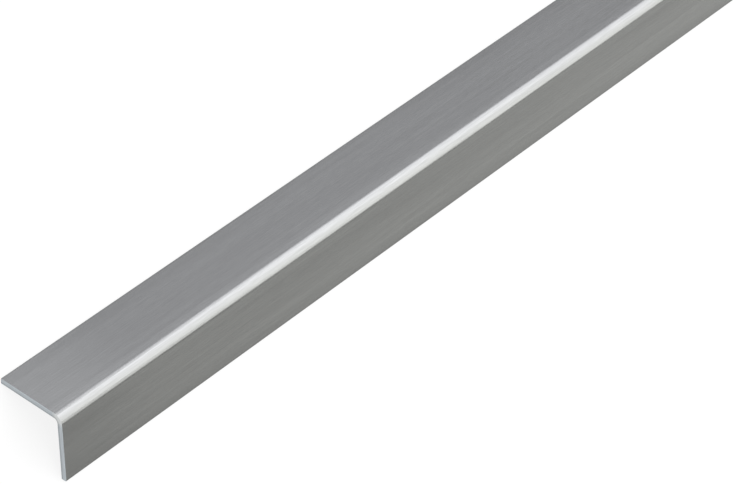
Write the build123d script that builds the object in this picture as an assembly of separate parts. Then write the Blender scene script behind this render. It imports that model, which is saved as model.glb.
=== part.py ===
"""Equal angle folded from brushed stainless sheet, lying on the edges of its two legs.

Millimetres. The bend runs along Y and is uppermost, the legs fall away to -X and +X, and the
lower edges of the legs stand on the floor, z = 0. The origin is on the floor, under the bend,
halfway along the length.
"""
import os
from math import cos, radians, sin

from build123d import *

# Driving dimensions
LENGTH = 1000.0  # a length that this section is sold in
LEG_WIDTH = 20.0  # outside, from a leg's edge to the line where both outer faces would meet
SHEET_THICKNESS = 1.5
INSIDE_BEND_RADIUS = 1.0  # the nose of the press tool
LEG_ANGLE = 90.0  # between the two legs
EDGE_RADIUS = 0.25  # on the long sheared edges, rubbed round so that they don't cut a hand
END_CHAMFER = 0.15  # round both cut ends, dressed with a file

# The sheet keeps its thickness through the bend, so both of its faces turn about one centre
outside_bend_radius = INSIDE_BEND_RADIUS + SHEET_THICKNESS

# Each leg leans by half the angle between them, and the section rests on the rounded inner
# corner of each leg's edge, which lies a little higher than the sharp corner would
lean = radians(LEG_ANGLE / 2)
corner_lost = EDGE_RADIUS * (cos(lean) + sin(lean) - 1)
outer_edge_x = LEG_WIDTH * sin(lean)
outer_edge_z = SHEET_THICKNESS * sin(lean) - corner_lost
outer_faces_meet_z = outer_edge_z + LEG_WIDTH * cos(lean)

with BuildPart() as angle_section:
    # The outer face is drawn from edge to edge, and the sheet's thickness is added inwards
    with BuildSketch(Plane.XZ) as section:
        with BuildLine():
            outer_face = FilletPolyline(
                (-outer_edge_x, outer_edge_z),
                (0, outer_faces_meet_z),
                (outer_edge_x, outer_edge_z),
                radius=outside_bend_radius,
            )
            offset(outer_face, SHEET_THICKNESS, side=Side.RIGHT)
        make_face()
        edge_corners = section.vertices().sort_by(lambda corner: abs(corner.X))[-4:]
        fillet(edge_corners, EDGE_RADIUS)
    extrude(amount=LENGTH / 2, both=True)
    cut_ends = angle_section.faces().filter_by(Axis.Y)
    chamfer(cut_ends.edges(), END_CHAMFER)

section_area = section.sketch.area
print(f"outside bend radius {outside_bend_radius:g} mm, section {section_area:.2f} mm2")

os.makedirs("parts", exist_ok=True)
export_step(angle_section.part, "parts/angle_section.step")
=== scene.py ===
# %% [markdown]
# # A length of brushed stainless angle
# The object is one piece of stock: a strip of stainless sheet that a press has folded along its
# middle into two equal legs. It lies as such a piece comes to rest, like a low tent, with the
# bend on top and the edges of both legs on the floor.
#
# There is little to model and nowhere to hide. What tells the eye that it is real metal is how
# light changes across the bend, the fine lines that the brushing left, and the narrow worked
# surfaces where the sheet was sheared and sawn. The cells below make those one at a time.

import math

import bpy
import numpy as np
from mathutils import Matrix, Vector


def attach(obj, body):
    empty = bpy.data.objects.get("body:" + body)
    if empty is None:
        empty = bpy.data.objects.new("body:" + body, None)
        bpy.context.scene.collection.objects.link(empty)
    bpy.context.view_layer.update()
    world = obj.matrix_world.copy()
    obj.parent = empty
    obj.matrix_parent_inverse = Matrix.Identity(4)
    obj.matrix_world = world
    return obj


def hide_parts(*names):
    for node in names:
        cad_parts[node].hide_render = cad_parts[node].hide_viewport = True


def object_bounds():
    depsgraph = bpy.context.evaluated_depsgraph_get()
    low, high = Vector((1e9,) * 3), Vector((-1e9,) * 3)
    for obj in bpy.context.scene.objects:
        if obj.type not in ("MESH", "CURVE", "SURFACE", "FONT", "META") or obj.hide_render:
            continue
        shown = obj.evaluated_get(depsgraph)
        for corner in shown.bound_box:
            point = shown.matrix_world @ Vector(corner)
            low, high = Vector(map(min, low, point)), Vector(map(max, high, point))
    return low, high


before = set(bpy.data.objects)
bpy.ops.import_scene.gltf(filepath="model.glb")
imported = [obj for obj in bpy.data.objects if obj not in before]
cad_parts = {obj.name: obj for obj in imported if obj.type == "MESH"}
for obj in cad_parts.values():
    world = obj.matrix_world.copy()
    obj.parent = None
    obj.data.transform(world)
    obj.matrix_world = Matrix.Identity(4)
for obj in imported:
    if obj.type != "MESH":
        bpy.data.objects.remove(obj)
cad_low, cad_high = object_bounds()
print("CAD box, mm:", [round(1000 * v, 2) for v in (*cad_low, *cad_high)])

# %% [markdown]
# ## The sizes that the section is made to
# All lengths here are metres. The length is read from the frame. The sheet's gauge, the bend's
# radius and the small worked edges are too fine to read from a box, so they are named, and the
# last line prints how far the section that they describe is from the box that it has to fill.

# %% Section sizes
MM = 0.001
LEG_WIDTH = 20 * MM
SHEET_THICKNESS = 1.5 * MM
INSIDE_BEND_RADIUS = 1.0 * MM
EDGE_RADIUS = 0.25 * MM
END_CHAMFER = 0.15 * MM
LEAN = math.radians(45)  # each leg leans by this much from upright

half_length = cad_high.y
outside_bend_radius = INSIDE_BEND_RADIUS + SHEET_THICKNESS
corner_lost = EDGE_RADIUS * (math.cos(LEAN) + math.sin(LEAN) - 1)
edge_z = SHEET_THICKNESS * math.sin(LEAN) - corner_lost
faces_meet_z = edge_z + LEG_WIDTH * math.cos(LEAN)
bend_centre_z = faces_meet_z - outside_bend_radius / math.sin(LEAN)
ridge_z = bend_centre_z + outside_bend_radius
print(f"ridge {1000 * ridge_z:.3f} mm high, the frame says {1000 * cad_high.z:.3f} mm")

# %% [markdown]
# ## The viewer's place
# The near cut end is at the lower left of the picture and the section runs off to the upper
# right, seen from above with a long lens. A camera placed by eye would never line up with it, so
# the place is worked out backwards: the direction of view, the lens and the point of the picture
# where the near end of the bend belongs are given, and together they fix where the camera is.

# %% Camera
PICTURE_WIDTH, PICTURE_HEIGHT = 750, 484  # pixels
SENSOR_WIDTH = 36.0  # millimetres, Blender's usual camera back
VIEW_AZIMUTH = math.radians(-9.272)
VIEW_ELEVATION = math.radians(53.802)
VIEW_ROLL = math.radians(65.79)
FOCAL_LENGTH_PX = 2982.0
NEAR_CORNER_PX = (61.05, 418.43)
NEAR_CORNER_DEPTH = 0.6734  # metres in front of the camera
CLIP_START, CLIP_END = 0.01, 50.0


def aim_camera():
    """Returns the camera's place and its right, up and backward directions, as numpy arrays.

    Backward points from the object to the viewer. Right is level and then rolled about backward.
    A point at depth D that shows X pixels right of the middle lies X / focal length * D along
    right, so the camera is the corner minus those steps."""
    back = np.array([
        math.sin(VIEW_AZIMUTH) * math.cos(VIEW_ELEVATION),
        -math.cos(VIEW_AZIMUTH) * math.cos(VIEW_ELEVATION),
        math.sin(VIEW_ELEVATION),
    ])
    level = np.cross([0, 0, 1], back)
    level /= np.linalg.norm(level)
    upright = np.cross(back, level)
    right = math.cos(VIEW_ROLL) * level + math.sin(VIEW_ROLL) * upright
    up = np.cross(back, right)
    step_right = (NEAR_CORNER_PX[0] - PICTURE_WIDTH / 2) / FOCAL_LENGTH_PX * NEAR_CORNER_DEPTH
    step_up = (PICTURE_HEIGHT / 2 - NEAR_CORNER_PX[1]) / FOCAL_LENGTH_PX * NEAR_CORNER_DEPTH
    corner = np.array([0, -half_length, faces_meet_z])
    place = corner - step_right * right - step_up * up + NEAR_CORNER_DEPTH * back
    return place, right, up, back


camera_place, camera_right, camera_up, camera_back = aim_camera()
camera = bpy.data.objects.new("camera", bpy.data.cameras.new("camera"))
bpy.context.scene.collection.objects.link(camera)
turn = Matrix(np.stack([camera_right, camera_up, camera_back], axis=1).tolist())
camera.matrix_world = Matrix.Translation(Vector(camera_place)) @ turn.to_4x4()
camera.data.sensor_width = SENSOR_WIDTH
camera.data.lens = FOCAL_LENGTH_PX / PICTURE_WIDTH * SENSOR_WIDTH
camera.data.clip_start, camera.data.clip_end = CLIP_START, CLIP_END
bpy.context.scene.camera = camera
print("camera at", [round(float(v), 3) for v in camera_place], f"lens {camera.data.lens:.1f} mm")

# %% [markdown]
# ## The folded sheet
# A press pushes the flat strip into a V with a round-nosed tool. The metal bends about the nose,
# so both faces of the sheet follow circles about one centre and the sheet stays equally thick.
#
# It could be a Bevel on a plain L, but then the inner and outer radii are separate guesses. Here
# every point is named by where it is in the sheet instead: how far across from a leg's edge, how
# far round the bend, and how deep below the outer face. One function turns that into a place.
# The outline of the section is a list of such points, and the body is that outline carried along
# the length.

# %% From sheet to section
flat_width = LEG_WIDTH - outside_bend_radius / math.tan(LEAN)  # of one leg's outer face
half_bend = math.pi / 2 - LEAN  # the angle from a leg's face to the top of the bend


def place_in_section(across, turned, depth, side):
    """x and z of points in the sheet, side 1 for the leg at +x and -1 for the one at -x.

    The point sits on a circle of (outside radius - depth) about the bend's centre, at an angle
    of (lean + turned) above the floor, and is then moved (flat width - across) down the leg."""
    radius = outside_bend_radius - depth
    down_leg = flat_width - across
    x = radius * np.cos(LEAN + turned) + down_leg * math.sin(LEAN)
    z = bend_centre_z + radius * np.sin(LEAN + turned) - down_leg * math.cos(LEAN)
    return np.stack([side * x, z], axis=1)


# %% Outline of one face, from one leg's edge to the other's
CORNER_STEPS = 6
FLAT_STEPS = 24
BEND_STEPS = 24  # on each half of the bend


def face_outline(outside, inset=0.0):
    """Rows of (x, z) across the outer or the inner face, with the outline drawn in by inset.

    Each half starts in the corner of the sheared edge, a quarter circle of EDGE_RADIUS which
    loses inset from its radius and keeps its centre. The flat follows with rows crowded towards
    both ends by a cosine, so that it shades flat, and then equal steps of angle in the bend."""
    quarter = np.linspace(0, math.pi / 2, CORNER_STEPS + 1)
    share = (1 - np.cos(np.linspace(0, math.pi, FLAT_STEPS + 1)[1:])) / 2
    across = np.concatenate([
        EDGE_RADIUS - (EDGE_RADIUS - inset) * np.cos(quarter),
        EDGE_RADIUS + (flat_width - EDGE_RADIUS) * share,
        np.full(BEND_STEPS, flat_width),
    ])
    turned = np.concatenate([
        np.zeros(quarter.size + share.size),
        np.linspace(0, half_bend, BEND_STEPS + 1)[1:],
    ])
    depth = np.full(across.size, inset)
    depth[: quarter.size] = EDGE_RADIUS - (EDGE_RADIUS - inset) * np.sin(quarter)
    if not outside:
        depth = SHEET_THICKNESS - depth
    left = place_in_section(across, turned, depth, -1)
    right = place_in_section(across[-2::-1], turned[-2::-1], depth[-2::-1], 1)
    return np.concatenate([left, right])


outer_face = face_outline(outside=True)
print(f"{len(outer_face)} points across a face, highest {1000 * outer_face[:, 1].max():.3f} mm")

# %% [markdown]
# ## The outline carried along the length
# The body is one closed outline, the outer face there and the inner face back, repeated at
# stations along y. At each end the last station is drawn in by the width of the filed chamfer.
#
# A single polygon over a cut end would be a big bent shape, which Blender has to guess how to
# split. Each point of the outer face has a partner on the inner face, so the end is a strip of
# small quads between partners instead.

# %% Points of the body
LENGTH_STEPS = 40


def ring(inset):
    """The closed outline as rows of (x, z): the outer face, then the inner face back again."""
    return np.concatenate([face_outline(True, inset), face_outline(False, inset)[::-1]])


filed_y = half_length - END_CHAMFER
between_ends = np.linspace(-filed_y, filed_y, LENGTH_STEPS + 1)
station_y = np.concatenate([[-half_length], between_ends, [half_length]])
full_ring, end_ring = ring(0.0), ring(END_CHAMFER)
ring_points = len(full_ring)
section_rings = np.stack([end_ring] + [full_ring] * (LENGTH_STEPS + 1) + [end_ring])
body_points = np.empty((len(station_y), ring_points, 3))
body_points[:, :, [0, 2]] = section_rings
body_points[:, :, 1] = station_y[:, None]
print(f"{len(station_y)} stations of {ring_points} points")

# %% Faces of the body
face_points = ring_points // 2


def side_faces():
    """Point numbers of the quads between neighbouring stations, wound to face outwards."""
    station = np.arange(len(station_y) - 1)[:, None] * ring_points
    here = np.arange(ring_points)[None, :]
    after = (here + 1) % ring_points
    corners = [station + here, station + after]
    corners += [corner + ring_points for corner in corners[::-1]]
    return np.stack(corners, axis=2)


def end_faces(first_point):
    """Point numbers of the quads across the cut end at the near side, wound to face -y.

    Point k of the outer face has its partner on the inner face at ring_points - 1 - k."""
    outer = np.arange(face_points)
    inner = ring_points - 1 - outer
    return first_point + np.stack([outer[:-1], inner[:-1], inner[1:], outer[1:]], axis=1)


sides = side_faces()
near_end = end_faces(0)
far_end = end_faces((len(station_y) - 1) * ring_points)[:, ::-1]
all_faces = np.concatenate([sides.reshape(-1, 4), near_end, far_end])
print(f"{len(all_faces)} quads")

# %% [markdown]
# ## A flat map of the sheet
# The strip was brushed while it was flat and folded afterwards, so the brush lines run round the
# bend with the metal. A pattern on plain x, y and z would know nothing of that. So each face
# corner gets its place on the unfolded strip, in metres: how far round the outline, and how far
# along the length. The finishes read this map, and the first of its two directions also tells
# the shader which way is across the brush lines.

# %% Map and finish of each face
BRUSHED, ROLLED, SHEARED, SAWN = range(4)

steps_round = np.linalg.norm(np.roll(full_ring, -1, axis=0) - full_ring, axis=1)
girth = np.concatenate([[0.0], np.cumsum(steps_round)])
outer_girth = girth[face_points - 1]
print(f"{1000 * girth[-1]:.1f} mm round the section, {1000 * outer_girth:.1f} mm of it outside")


def side_map():
    """(u, v) of each corner of the side quads: metres round the outline, and y."""
    uv = np.empty((*sides.shape, 2))
    uv[..., 0] = girth[np.arange(ring_points)[:, None] + [0, 1, 1, 0]]
    uv[..., 1] = station_y[np.arange(len(station_y) - 1)[:, None, None] + [0, 0, 1, 1]]
    return uv.reshape(-1, 4, 2)


def end_map(end_y, away):
    """(u, v) of each corner of an end's quads: metres over the outer face, y plus the depth."""
    uv = np.empty((face_points - 1, 4, 2))
    uv[..., 0] = girth[np.arange(face_points - 1)[:, None] + [0, 0, 1, 1]]
    uv[..., 1] = end_y + away * SHEET_THICKNESS * np.array([0, 1, 1, 0])
    return uv


def side_finish():
    """The finish of each side quad: filed at the chamfers, sheared round the legs' edges."""
    segment = np.arange(ring_points)
    on_face = segment % face_points
    near_edge = (on_face < CORNER_STEPS) | (on_face >= face_points - 1 - CORNER_STEPS)
    round_ring = np.where(segment < face_points, BRUSHED, ROLLED)
    round_ring[near_edge] = SHEARED
    finish = np.tile(round_ring, (len(station_y) - 1, 1))
    finish[[0, -1]] = SAWN
    return finish.ravel()


near_map, far_map = end_map(-half_length, -1), end_map(half_length, 1)[:, ::-1]
face_maps = np.concatenate([side_map(), near_map, far_map])
face_finish = np.concatenate([side_finish(), np.full(2 * (face_points - 1), SAWN)])

# %% The mesh
SHARP_ANGLE = math.radians(30)
STRIP_MAP = "unfolded_strip"

mesh = bpy.data.meshes.new("angle_section_body")
mesh.from_pydata(body_points.reshape(-1, 3).tolist(), [], all_faces.tolist())
strip_map = mesh.uv_layers.new(name=STRIP_MAP)
strip_map.uv.foreach_set("vector", face_maps.astype(np.float32).ravel())
mesh.polygons.foreach_set("material_index", face_finish.astype(np.int32))
mesh.polygons.foreach_set("use_smooth", np.ones(len(all_faces), bool))
mesh.set_sharp_from_angle(angle=SHARP_ANGLE)
mesh.update()
body = bpy.data.objects.new("folded_angle", mesh)
bpy.context.scene.collection.objects.link(body)
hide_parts("angle_section")
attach(body, "root")
print(f"{len(mesh.polygons)} faces, valid: {not mesh.validate(verbose=True)}")

# %% [markdown]
# ## Finishes
# Brushed steel looks brushed for two reasons. The lines are grooves far finer than the eye can
# see one by one, so light spreads widely across them and little along them: that is the shader's
# anisotropy. And some lines are deeper or lighter than their neighbours, and those are seen, as
# long thin streaks that change the tone and the roughness a little.
#
# An image of brushed metal would repeat and blur. Noise that is stretched along the length, on
# the unfolded map, gives lines of a real width and length anywhere on the metal. A few helpers
# build the node trees, so that each finish below reads as a list of what was done to the metal.

# %% Helpers for node trees
def add_node(tree, kind, inputs, **settings):
    """Adds a node. Each input gets a value, or a link if its value is another node's output."""
    node = tree.nodes.new(kind)
    for setting, value in settings.items():
        setattr(node, setting, value)
    for socket, value in inputs.items():
        if isinstance(value, bpy.types.NodeSocket):
            tree.links.new(value, node.inputs[socket])
        else:
            node.inputs[socket].default_value = value
    return node


def reckon(tree, operation, *numbers):
    """A Math node's answer."""
    answer = add_node(tree, "ShaderNodeMath", dict(enumerate(numbers)), operation=operation)
    return answer.outputs[0]


def blend_range(tree, value, start, end, low, high, kind="LINEAR"):
    """low where value is at start or before, high where it is at end or after."""
    inputs = {"Value": value, "From Min": start, "From Max": end, "To Min": low, "To Max": high}
    return add_node(tree, "ShaderNodeMapRange", inputs, interpolation_type=kind).outputs[0]


def soft_step(tree, value, start, end):
    """0 where value is at start or before, 1 where it is at end or after, eased in and out."""
    return blend_range(tree, value, start, end, 0.0, 1.0, kind="SMOOTHSTEP")


def between(tree, share, low, high):
    """low where share is 0, high where it is 1, and evenly in between."""
    return blend_range(tree, share, 0.0, 1.0, low, high)


def tone_by(tree, share, change):
    """A factor for a colour: 1 - change where share is 0, 1 + change where it is 1."""
    return between(tree, share, 1 - change, 1 + change)


# %% Helpers for worked metal
NOISE_DETAIL, NOISE_ROUGHNESS = 2.0, 0.55
NOISE_SPAN = 0.3, 0.7  # nearly all of the noise lies between these
QUARTER_TURN = 0.25


def strip_place(tree):
    """The place on the unfolded strip: metres round the outline, and metres along the length."""
    strip = add_node(tree, "ShaderNodeUVMap", {}, uv_map=STRIP_MAP)
    place = add_node(tree, "ShaderNodeSeparateXYZ", {"Vector": strip.outputs["UV"]})
    return strip.outputs["UV"], place.outputs["X"], place.outputs["Y"]


def streaks(tree, round_size, along_size, low, high, seed):
    """Noise turned into numbers from low to high.

    Its marks are round_size metres wide round the outline and along_size metres long. The seed
    only moves the noise elsewhere, so that two layers never share their marks."""
    strip, _, _ = strip_place(tree)
    place = add_node(tree, "ShaderNodeMapping", {
        "Vector": strip,
        "Location": (seed, 1.7 * seed, 0.0),
        "Scale": (1 / round_size, 1 / along_size, 1.0),
    })
    noise = add_node(tree, "ShaderNodeTexNoise", {
        "Vector": place.outputs["Vector"],
        "Scale": 1.0,
        "Detail": NOISE_DETAIL,
        "Roughness": NOISE_ROUGHNESS,
    }, noise_dimensions="2D")
    return blend_range(tree, noise.outputs[0], *NOISE_SPAN, low, high)


def toning_streaks(tree, round_size, along_size, change, seed):
    """Streaks as a factor for a colour, from 1 - change to 1 + change."""
    return streaks(tree, round_size, along_size, 1 - change, 1 + change, seed)


def from_ridge(tree):
    """Metres round the outline from the top of the bend, the same way down both legs.

    The outline is closed, so the distance goes up to half of the girth, at the inside of the
    bend, and down again: a triangle wave, which is what Ping-Pong gives."""
    _, round_outline, _ = strip_place(tree)
    past_ridge = reckon(tree, "SUBTRACT", round_outline, outer_girth / 2)
    return reckon(tree, "PINGPONG", past_ridge, girth[-1] / 2)


def metal_finish(name, color, roughness, spread, turn=0.0):
    """A plain metal, with its constants set on the shader. Returns material, node tree, shader.

    Its tangent is the unfolded strip's first direction, which is across the brush lines, so the
    highlight spreads across them: not at all for a spread of 0, most for 1. A turn of a quarter
    spreads it along the length instead."""
    material = bpy.data.materials.new(name)
    material.use_nodes = True
    tree = material.node_tree
    shader = tree.nodes["Principled BSDF"]
    shader.inputs["Metallic"].default_value = 1.0
    shader.inputs["Base Color"].default_value = (*color, 1.0)
    shader.inputs["Roughness"].default_value = roughness
    shader.inputs["Anisotropic"].default_value = spread
    shader.inputs["Anisotropic Rotation"].default_value = turn
    across = add_node(tree, "ShaderNodeTangent", {}, direction_type="UV_MAP", uv_map=STRIP_MAP)
    tree.links.new(across.outputs["Tangent"], shader.inputs["Tangent"])
    return material, tree, shader


def mix_colors(tree, share, first, second):
    """The colour first where share is 0, the second where it is 1."""
    inputs = {"Factor": share, "A": first, "B": second}
    return add_node(tree, "ShaderNodeMix", inputs, data_type="VECTOR").outputs["Result"]


def lay_tone(tree, shader, color, tones):
    """Multiplies a colour by every number in tones, and gives it to the shader."""
    tone = tones[0]
    for other in tones[1:]:
        tone = reckon(tree, "MULTIPLY", tone, other)
    toned = add_node(tree, "ShaderNodeVectorMath", {0: color, "Scale": tone}, operation="SCALE")
    tree.links.new(toned.outputs["Vector"], shader.inputs["Base Color"])


def vary_roughness(tree, shader, share, middle, change):
    """The shader's roughness: middle - change where share is 0, middle + change where it is 1."""
    roughness = between(tree, share, middle - change, middle + change)
    tree.links.new(roughness, shader.inputs["Roughness"])


def raise_grain(tree, shader, height, distance):
    """Lets a height from 0 to 1 stand distance metres proud."""
    grain = add_node(tree, "ShaderNodeBump", {"Height": height, "Distance": distance})
    tree.links.new(grain.outputs["Normal"], shader.inputs["Normal"])


# %% [markdown]
# ## Brushed outer face: the belt's lines
# An abrasive belt ran along the strip while it was flat. It leaves lines of every width at once:
# hairs a fifth of a millimetre wide and a few millimetres long, long bundles of them, bands where
# the belt pressed harder, and soft clouds. Here and there a longer hair is deeper, or bright.
#
# Each width is one layer of noise, and the layers are multiplied, because marks that lie over each
# other dim each other. The hairs also stand proud of the metal, and the roughness has streaks of
# its own, where the belt was more or less worn.

# %% Brush lines
STEEL = (0.2212, 0.2245, 0.231)
BRUSHED_SPREAD = 0.5
BRUSHED_ROUGHNESS, BELT_WEAR = 0.25, 0.02  # the middle, and how far the belt's wear changes it
BELT_WEAR_SIZE = 0.7 * MM, 45 * MM  # width round the outline and length, as all sizes below
HAIR_SIZE = 0.2 * MM, 5 * MM
HAIR_TONE, HAIR_HEIGHT = 0.045, 0.003 * MM
LONG_HAIR_SIZE = 0.2 * MM, 30 * MM
DEEP_HAIRS = 0.8, 0.95, 1.0, 0.975  # from and to in their noise, and the tones there
BRIGHT_HAIRS = 0.05, 0.2, 1.03, 1.0
WIDER_LINES = {  # width, length, change of tone, seed
    "bundles": (0.4 * MM, 60 * MM, 0.026, 7.7),
    "bands": (2.2 * MM, 120 * MM, 0.022, 12.3),
    "clouds": (11 * MM, 90 * MM, 0.015, 21.9),
}

brushed, tree, shader = metal_finish(
    "brushed_outer_face", STEEL, BRUSHED_ROUGHNESS, BRUSHED_SPREAD)
hairs = streaks(tree, *HAIR_SIZE, 0.0, 1.0, 3.1)
long_hairs = streaks(tree, *LONG_HAIR_SIZE, 0.0, 1.0, 31.4)
belt_lines = [
    tone_by(tree, hairs, HAIR_TONE),
    *(toning_streaks(tree, *line) for line in WIDER_LINES.values()),
    blend_range(tree, long_hairs, *DEEP_HAIRS),
    blend_range(tree, long_hairs, *BRIGHT_HAIRS),
]
worn_belt = streaks(tree, *BELT_WEAR_SIZE, 0.0, 1.0, 44.6)
vary_roughness(tree, shader, worn_belt, BRUSHED_ROUGHNESS, BELT_WEAR)
raise_grain(tree, shader, hairs, HAIR_HEIGHT)
print(f"{len(belt_lines)} layers of lines")

# %% [markdown]
# ## Brushed outer face: the bend and beside it
# The outer skin of the bend is painted lighter: a painted highlight, which adds to the bend's
# mirror image of the ceiling lights. Beside the bend a narrow strip is lighter: a wide one on the
# leg at -x, a faint one on the other.
#
# Both marks run along the whole length, so they are functions of one number, the distance round
# the outline from the ridge. soft_step turns that into a mark with eased edges.

# %% Painted highlight on the bend, and the lighter shoulders
bend_arc = outside_bend_radius * half_bend  # metres of outline from the ridge to the flat
# painted highlight: the bend's colour is lighter by this share near the ridge, fading towards the
# flats
PAINTED_BEND_HIGHLIGHT, BEND_HIGHLIGHT_FADES = 0.4, (1.0, 0.55)  # out to in, as shares of the bend's arc
# the strip beside the bend is lighter by this share
SHOULDER_TONE, SHOULDER_BEGINS = 0.09, (0.7, 1.05)  # shares of the bend's arc
SHOULDER_WIDTH = 2.2 * MM
SHOULDER_FADE = 1.5 * MM
FAINT_SHOULDER = 0.6  # share of the lighter strip that the leg at +x has


def on_arc(tree, distance, shares):
    """A soft step between two distances from the ridge, given as shares of the bend's arc."""
    return soft_step(tree, distance, shares[0] * bend_arc, shares[1] * bend_arc)


_, round_outline, along = strip_place(tree)
ridge_distance = from_ridge(tree)
leg_side = soft_step(tree, round_outline, outer_girth / 2 - bend_arc, outer_girth / 2 + bend_arc)

painted_bend_mask = on_arc(tree, ridge_distance, BEND_HIGHLIGHT_FADES)
shoulder_end = bend_arc + SHOULDER_WIDTH
leaves_bend = on_arc(tree, ridge_distance, SHOULDER_BEGINS)
on_shoulder = soft_step(tree, ridge_distance, shoulder_end, shoulder_end - SHOULDER_FADE)
shoulder_strip = reckon(tree, "MULTIPLY", leaves_bend, on_shoulder)
shoulder_strip = reckon(tree, "MULTIPLY", shoulder_strip, between(tree, leg_side, 1.0, FAINT_SHOULDER))
bend_and_shoulder_marks = [
    # painted highlight on the bend
    reckon(tree, "MULTIPLY_ADD", painted_bend_mask, PAINTED_BEND_HIGHLIGHT, 1.0),
    reckon(tree, "MULTIPLY_ADD", shoulder_strip, SHOULDER_TONE, 1.0),
]
print(f"bend skin {2000 * bend_arc:.2f} mm wide")

# %% [markdown]
# ## Brushed outer face: painted light and shade, and the belt's second pass
# Four faint marks keep the long faces from being the same all over:
#
# - The last millimetres next to a sheared edge are darker: painted shade, where the edge sits
#   on the floor.
# - A second pass of the belt left broad streaks all over the leg at +x. A lighter stripe along
#   that leg, away from the ends, is a painted sheen.
# - Near the ends the leg at -x is painted lighter and the leg at +x darker: a painted highlight
#   and a painted shade.
# - The leg at +x is a little less blue: a painted tint of the greener light that it mirrors.
#
# They could be painted on by hand, but then another length would need new paint. Each is made of
# a distance instead, from the sheared edge, from the cut end or from the middle of the stripe.

# %% Painted light and shade on the long faces, and the belt's second pass
# painted tint of the light that the leg at +x mirrors
PAINTED_TINT_STEEL = (0.2245, 0.2275, 0.2185)
# painted shade next to the sheared edges, which sit on the floor
EDGE_SHADE_TONE, EDGE_SHADE_REACH = 0.9, (0.4 * MM, 0.9 * MM)
MARGIN_SHADE_TONE, MARGIN_SHADE_REACH = 0.955, (1.0 * MM, 6.0 * MM)
SECOND_PASS = 0.025
SECOND_PASS_SIZE = 0.9 * MM, 30 * MM
# painted sheen: the stripe along the leg at +x is lighter by this share
PAINTED_STRIPE_SHEEN = 0.08
STRIPE_AT, STRIPE_WIDTH = 33.5 * MM, 14 * MM  # round the outline
STRIPE_FROM_END = 30 * MM, 110 * MM  # where it starts and is in full
PAINTED_END_REACH = 34 * MM
PAINTED_END_FROM_RIDGE = 0.5, 1.2  # shares of the bend's arc
# painted highlight near the ends of the leg at -x, painted shade near those of the leg at +x
PAINTED_END_LIGHT, PAINTED_END_SHADE = 0.2, -0.13

edge_distance = reckon(tree, "SUBTRACT", outer_girth / 2, ridge_distance)
end_distance = reckon(tree, "SUBTRACT", half_length, reckon(tree, "ABSOLUTE", along))

off_stripe = reckon(tree, "ABSOLUTE", reckon(tree, "SUBTRACT", round_outline, STRIPE_AT))
painted_stripe_mask = soft_step(tree, off_stripe, STRIPE_WIDTH / 2, 0.0)
painted_stripe_mask = reckon(tree, "MULTIPLY", painted_stripe_mask, soft_step(tree, end_distance, *STRIPE_FROM_END))
second_pass = streaks(tree, *SECOND_PASS_SIZE, -SECOND_PASS, SECOND_PASS, 52.8)
on_flat = on_arc(tree, ridge_distance, PAINTED_END_FROM_RIDGE)
# painted light and shade near the ends
painted_end_mask = reckon(tree, "MULTIPLY", on_flat, soft_step(tree, end_distance, PAINTED_END_REACH, 0.0))
painted_end_tone = between(tree, leg_side, PAINTED_END_LIGHT, PAINTED_END_SHADE)
belt_pass_and_painted_marks = [
    # painted shade next to the sheared edges
    blend_range(tree, edge_distance, *EDGE_SHADE_REACH, EDGE_SHADE_TONE, 1.0),
    blend_range(tree, edge_distance, *MARGIN_SHADE_REACH, MARGIN_SHADE_TONE, 1.0),
    # painted sheen along the leg at +x
    reckon(tree, "MULTIPLY_ADD", painted_stripe_mask, PAINTED_STRIPE_SHEEN, 1.0),
    reckon(tree, "MULTIPLY_ADD", second_pass, leg_side, 1.0),
    reckon(tree, "MULTIPLY_ADD", painted_end_mask, painted_end_tone, 1.0),
]
# painted tint on the leg at +x
steel = mix_colors(tree, leg_side, STEEL, PAINTED_TINT_STEEL)
lay_tone(tree, shader, steel, belt_lines + bend_and_shoulder_marks + belt_pass_and_painted_marks)
mesh.materials.append(brushed)
print(f"{brushed.name}: {len(tree.nodes)} nodes")

# %% [markdown]
# ## Rolled inner face
# Inside, the sheet is as the mill rolled it: a little duller, with soft cloudy patches and only
# faint lines. The nose of the press rubbed the hollow of the bend bright.
#
# The patches are noise as the belt's lines are, only nearly as wide as they are long. One layer
# of them sets both a tone and a roughness, because a dull patch is dull in both.

# %% Rolled finish
ROLLED_STEEL = (0.235, 0.238, 0.243)
ROLLED_ROUGHNESS, ROLLED_SPREAD = 0.34, 0.3
MILL_LINE_SIZE, MILL_LINE_TONE = (0.3 * MM, 60 * MM), 0.015
PATCH_SIZE, PATCH_TONE, PATCH_ROUGHNESS = (5 * MM, 9 * MM), 0.04, 0.03
BROAD_PATCH_SIZE = 14 * MM, 60 * MM
NOSE_RUB, RUB_REACH = 0.12, (-0.6 * MM, 0.2 * MM)  # from where the hollow begins
MILL_GRAIN_SIZE, MILL_GRAIN_HEIGHT = (0.08 * MM, 0.12 * MM), 0.001 * MM

rolled, tree, shader = metal_finish(
    "rolled_inner_face", ROLLED_STEEL, ROLLED_ROUGHNESS, ROLLED_SPREAD)
mill_lines = toning_streaks(tree, *MILL_LINE_SIZE, MILL_LINE_TONE, 4.4)
patches = streaks(tree, *PATCH_SIZE, 0.0, 1.0, 15.2)
patch_tone = tone_by(tree, patches, PATCH_TONE)
broad_patches = toning_streaks(tree, *BROAD_PATCH_SIZE, PATCH_TONE, 26.8)
hollow_begins = girth[-1] / 2 - INSIDE_BEND_RADIUS * half_bend  # metres from the ridge
past_hollow_edge = reckon(tree, "SUBTRACT", from_ridge(tree), hollow_begins)
in_hollow = soft_step(tree, past_hollow_edge, *RUB_REACH)
nose_rub = reckon(tree, "MULTIPLY_ADD", in_hollow, NOSE_RUB, 1.0)
lay_tone(tree, shader, ROLLED_STEEL, [mill_lines, patch_tone, broad_patches, nose_rub])
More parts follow.
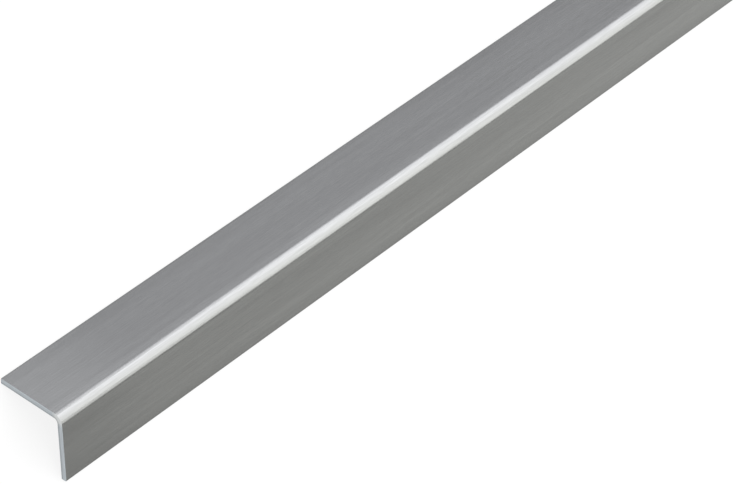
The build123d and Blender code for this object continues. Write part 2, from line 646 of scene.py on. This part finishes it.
vary_roughness(tree, shader, patches, ROLLED_ROUGHNESS, PATCH_ROUGHNESS)
mill_grain = streaks(tree, *MILL_GRAIN_SIZE, 0.0, 1.0, 9.5)
raise_grain(tree, shader, mill_grain, MILL_GRAIN_HEIGHT)
mesh.materials.append(rolled)
print(f"{rolled.name}: {len(tree.nodes)} nodes")

# %% [markdown]
# ## Sheared edges of the legs
# A shear first cuts and then tears. Next to the face where the blade came in, the edge is smooth
# and shows the drag marks of the blade, straight down through the sheet. Below a wavy boundary the
# metal tore, and is darker and rough.
#
# The boundary is too fine to model. It is a depth from the outer face, read off the flat map as
# the distance past the last of that face, with noise added to make it wavy.

# %% Sheared finish
SHEARED_STEEL = (0.2, 0.202, 0.205)
SHEARED_ROUGHNESS, TEAR_ROUGHNESS = 0.4, 0.1  # smoother by this where cut, rougher where torn
SHEARED_SPREAD = 0.4
TEAR_BEGINS, TEAR_TONE = (0.35 * MM, 0.5 * MM), 0.72  # metres from the outer face inwards
WAVE_SIZE, WAVE_HEIGHT = (5 * MM, 2.5 * MM), 0.15 * MM
ROLLED_OVER = -0.3 * MM, 0.0, 0.72, 1.1  # metres from the outer face from and to, and tones there
DRAG_SIZE, DRAG_TONE = (1.6 * MM, 0.12 * MM), 0.07
GRIT_SIZE, GRIT_HEIGHT = (0.12 * MM, 0.12 * MM), 0.012 * MM

sheared, tree, shader = metal_finish(
    "sheared_leg_edge", SHEARED_STEEL, SHEARED_ROUGHNESS, SHEARED_SPREAD, turn=QUARTER_TURN)
into_edge = reckon(tree, "SUBTRACT", from_ridge(tree), outer_girth / 2)
wave = streaks(tree, *WAVE_SIZE, -WAVE_HEIGHT, WAVE_HEIGHT, 5.6)
torn = soft_step(tree, reckon(tree, "ADD", into_edge, wave), *TEAR_BEGINS)
drag_marks = toning_streaks(tree, *DRAG_SIZE, DRAG_TONE, 14.1)
rolled_over = blend_range(tree, into_edge, *ROLLED_OVER)
torn_tone = between(tree, torn, 1.0, TEAR_TONE)
lay_tone(tree, shader, SHEARED_STEEL, [drag_marks, rolled_over, torn_tone])
vary_roughness(tree, shader, torn, SHEARED_ROUGHNESS, TEAR_ROUGHNESS)
grit = streaks(tree, *GRIT_SIZE, 0.0, 1.0, 18.3)
raise_grain(tree, shader, reckon(tree, "MULTIPLY", grit, torn), GRIT_HEIGHT)
mesh.materials.append(sheared)
print(f"{sheared.name}: {len(tree.nodes)} nodes")

# %% [markdown]
# ## Sawn and filed ends
# A fine saw cut the length off and a file took the burr away. Both ran along the thin cut face,
# so its lines follow the section round. Fresh metal is lighter than the brushed faces, and its
# blue is a painted tint of cool light that the cut mirrors. Where the cut crosses the bend it is
# painted bright, a painted highlight. Across the cut it is painted a little lighter at the outer
# side and darker towards the inner side: a painted highlight and a painted shade.
#
# The flat map runs on over the ends: there, its second direction goes on past the length by the
# depth in the sheet. So the same helpers draw lines along the cut and find its inner side.

# %% Sawn finish
# painted tint: the blue of the cut face
SAWN_STEEL = (0.42, 0.455, 0.48)
# painted highlight where the cut crosses the bend
CUT_HIGHLIGHT_STEEL = (0.575, 0.59, 0.59)
SAWN_ROUGHNESS, SAWN_SPREAD = 0.42, 0.4
FILE_LINE_SIZE, FILE_LINE_TONE, FILE_LINE_HEIGHT = (4 * MM, 0.14 * MM), 0.07, 0.006 * MM
FILE_PASS_SIZE, FILE_PASS_TONE, FILE_PASS_ROUGHNESS = (3 * MM, 0.5 * MM), 0.07, 0.04
CUT_HIGHLIGHT_REACH = 2.9 * MM, 1.0 * MM  # from the ridge: where it begins and is in full
# painted highlight at the cut's outer side, painted shade towards its inner side
CUT_LIGHT_AND_SHADE = 0.5 * MM, 1.3 * MM, 1.05, 0.78  # depth in the sheet from and to, and tones there

sawn, tree, shader = metal_finish(
    "sawn_end", SAWN_STEEL, SAWN_ROUGHNESS, SAWN_SPREAD, turn=QUARTER_TURN)
_, _, along = strip_place(tree)
depth = reckon(tree, "SUBTRACT", reckon(tree, "ABSOLUTE", along), half_length)
file_lines = streaks(tree, *FILE_LINE_SIZE, 0.0, 1.0, 6.2)
file_passes = streaks(tree, *FILE_PASS_SIZE, 0.0, 1.0, 16.6)
# painted highlight where the cut crosses the bend
painted_cut_highlight = soft_step(tree, from_ridge(tree), *CUT_HIGHLIGHT_REACH)
steel = mix_colors(tree, painted_cut_highlight, SAWN_STEEL, CUT_HIGHLIGHT_STEEL)
lay_tone(tree, shader, steel, [
    tone_by(tree, file_lines, FILE_LINE_TONE),
    tone_by(tree, file_passes, FILE_PASS_TONE),
    # painted highlight and painted shade across the cut
    blend_range(tree, depth, *CUT_LIGHT_AND_SHADE, kind="SMOOTHSTEP"),
])
vary_roughness(tree, shader, file_passes, SAWN_ROUGHNESS, FILE_PASS_ROUGHNESS)
raise_grain(tree, shader, file_lines, FILE_LINE_HEIGHT)
mesh.materials.append(sawn)
print(f"{sawn.name}: {len(tree.nodes)} nodes")

# %% [markdown]
# ## Floor
# The floor is plain and pale. What metal and glass mirror has to be the same white that the eye
# sees, so for the rays that look at it a share of its shading is a plain white glow, and the rest
# is matt and keeps the object's shadow. Rays that carry its light on to the object see only the
# matt part, so the glow lights nothing.

# %% Floor
FLOOR_SIZE = 16.0
FLOOR_PALENESS = 0.93
GLOW_SHARE = 0.85


def seen_rays(tree):
    """1 for the rays that show the surroundings: camera, glossy and transmission rays."""
    rays = tree.nodes.new("ShaderNodeLightPath").outputs
    reflected = reckon(tree, "MAXIMUM", rays["Is Glossy Ray"], rays["Is Transmission Ray"])
    return reckon(tree, "MAXIMUM", rays["Is Camera Ray"], reflected)


floor_mesh = bpy.data.meshes.new("floor")
corner_signs = np.array([[-1, -1, 0], [1, -1, 0], [1, 1, 0], [-1, 1, 0]])
floor_mesh.from_pydata((corner_signs * FLOOR_SIZE / 2).tolist(), [], [(0, 1, 2, 3)])
floor = bpy.data.objects.new("floor", floor_mesh)
bpy.context.scene.collection.objects.link(floor)

pale = bpy.data.materials.new("pale_floor")
pale.use_nodes = True
tree = pale.node_tree
tree.nodes.remove(tree.nodes["Principled BSDF"])
matt_color = (FLOOR_PALENESS, FLOOR_PALENESS, FLOOR_PALENESS, 1.0)
matt = add_node(tree, "ShaderNodeBsdfDiffuse", {"Color": matt_color})
glow = add_node(tree, "ShaderNodeEmission", {"Color": (1.0, 1.0, 1.0, 1.0), "Strength": 1.0})
share = reckon(tree, "MULTIPLY", seen_rays(tree), GLOW_SHARE)
mix = add_node(tree, "ShaderNodeMixShader", {0: share, 1: matt.outputs[0], 2: glow.outputs[0]})
tree.links.new(mix.outputs[0], tree.nodes["Material Output"].inputs["Surface"])
floor_mesh.materials.append(pale)
print(f"floor {FLOOR_SIZE:.0f} m square")

# %% [markdown]
# ## The room
# Metal shows its room. From where the camera stands, each leg mirrors a low stretch of wall past
# the section's far end: the upper leg the left wall, the lower leg the right one. In this studio
# the left wall is brightest where it begins and dims further off, and the right wall has a dark
# curtain low down. Walls could be modelled, but their edges would draw lines on the metal. So the
# world's level depends on the direction, softly, and is plain white everywhere else.
#
# For rays that only carry light on, the world is a little dimmer, so that the lamps leave a soft
# shadow on the floor.

# %% Room
ROOM_LEVEL = 1.0
FILL_LEVEL = 0.8
LEFT_GAIN, LEFT_LOSS = 0.19, 0.47  # where the left wall begins, and at its far end
CURTAIN_LOSS = 0.8
WALLS_BEGIN = 0.28, 0.46  # directions: shares of +y, of +x or of straight up
LEFT_FALLS_OFF = 0.46, 0.8
TO_THE_LEFT = -0.2, -0.5
TO_THE_RIGHT = 0.2, 0.5
CURTAIN_ENDS = 0.87, 0.5
CURTAIN_TOP = 0.35, 0.0

room = bpy.data.worlds.new("studio")
bpy.context.scene.world = room
room.use_nodes = True
tree = room.node_tree
direction = tree.nodes.new("ShaderNodeTexCoord").outputs["Generated"]
toward = add_node(tree, "ShaderNodeSeparateXYZ", {"Vector": direction}).outputs
walls_begin = soft_step(tree, toward["Y"], *WALLS_BEGIN)

gain = reckon(tree, "MULTIPLY", walls_begin, LEFT_GAIN)
loss = reckon(tree, "MULTIPLY", soft_step(tree, toward["Y"], *LEFT_FALLS_OFF), LEFT_LOSS)
change = reckon(tree, "SUBTRACT", gain, loss)
left_wall = reckon(tree, "MULTIPLY", change, soft_step(tree, toward["X"], *TO_THE_LEFT))

curtain = reckon(tree, "MULTIPLY", walls_begin, soft_step(tree, toward["Y"], *CURTAIN_ENDS))
curtain = reckon(tree, "MULTIPLY", curtain, soft_step(tree, toward["X"], *TO_THE_RIGHT))
curtain = reckon(tree, "MULTIPLY", curtain, soft_step(tree, toward["Z"], *CURTAIN_TOP))

walls = reckon(tree, "ADD", left_wall, ROOM_LEVEL)
walls = reckon(tree, "MULTIPLY_ADD", curtain, -CURTAIN_LOSS, walls)
level = between(tree, seen_rays(tree), FILL_LEVEL, walls)
tree.links.new(level, tree.nodes["Background"].inputs["Strength"])
tree.nodes["Background"].inputs["Color"].default_value = (1.0, 1.0, 1.0, 1.0)
print(f"room: {len(tree.nodes)} nodes")

# %% [markdown]
# ## Lamps
# The white line along the bend is the bend's own mirror image of a ceiling of soft light, and it
# is as wide as that ceiling looks from the bend. Further off the ceiling is seen at a flatter
# angle, so it hangs in three rows, each wider than the one before, or the line would narrow too
# much. Its left half is a little brighter, which makes the line's upper side the whiter one.
#
# One dimmer panel hangs overhead, for the places that face straight up.

# %% Ceiling of soft light
CEILING_HEIGHT = 3.6
CEILING_ROWS = {  # y from and to, reach to the left and to the right, level left and right
    "near": (1.0, 3.1, 3.6, 3.45, 1.65, 1.35),
    "middle": (3.1, 8.2, 8.5, 8.3, 1.58, 1.27),
    "far": (8.2, 14.0, 11.7, 11.5, 1.58, 1.27),
}
OVERHEAD_X, OVERHEAD_Y, OVERHEAD_LEVEL = (-3.0, 3.0), (-2.0, 1.0), 1.0


def ceiling_part(name, x_span, y_span, radiance):
    """A level area lamp that faces down. One of this radiance gives radiance * pi * area watts."""
    lamp = bpy.data.lights.new(name, "AREA")
    lamp.shape = "RECTANGLE"
    lamp.size, lamp.size_y = x_span[1] - x_span[0], y_span[1] - y_span[0]
    lamp.energy = radiance * math.pi * lamp.size * lamp.size_y
    part = bpy.data.objects.new(name, lamp)
    part.location = (sum(x_span) / 2, sum(y_span) / 2, CEILING_HEIGHT)
    bpy.context.scene.collection.objects.link(part)


for row, (y_from, y_to, left, right, left_level, right_level) in CEILING_ROWS.items():
    ceiling_part(f"ceiling_{row}_left", (-left, 0.0), (y_from, y_to), left_level)
    ceiling_part(f"ceiling_{row}_right", (0.0, right), (y_from, y_to), right_level)
ceiling_part("ceiling_overhead", OVERHEAD_X, OVERHEAD_Y, OVERHEAD_LEVEL)
bpy.context.scene.view_settings.view_transform = "Standard"
